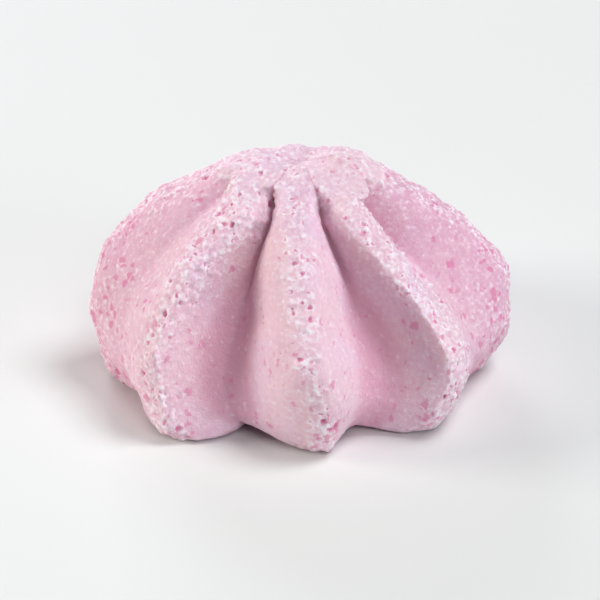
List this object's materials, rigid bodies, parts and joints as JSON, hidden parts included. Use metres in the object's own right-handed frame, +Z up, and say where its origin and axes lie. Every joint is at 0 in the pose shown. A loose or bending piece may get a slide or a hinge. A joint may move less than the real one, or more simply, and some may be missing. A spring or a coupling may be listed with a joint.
{
  "type": "meringue cookie",
  "caption": "Small star-piped meringue kiss: a low dome of uneven crumbly ridges and deep creases under a torn flat cap, standing on a flat base, for dressing a plate or a cake.",
  "frame": {"origin": "on the floor plane under the middle of the cookie's bounding box", "axes": "+Z up through the torn cap, -Y towards the front, with the deepest crease just left of it"},
  "size_m": [0.034, 0.0336, 0.0195],
  "materials": {
    "meringue": "matte, chalky pale pink meringue crust with fine pores and small deeper pink pits"
  },
  "bodies": {
    "root": {"meringue": "meringue"}
  },
  "joints": []
}
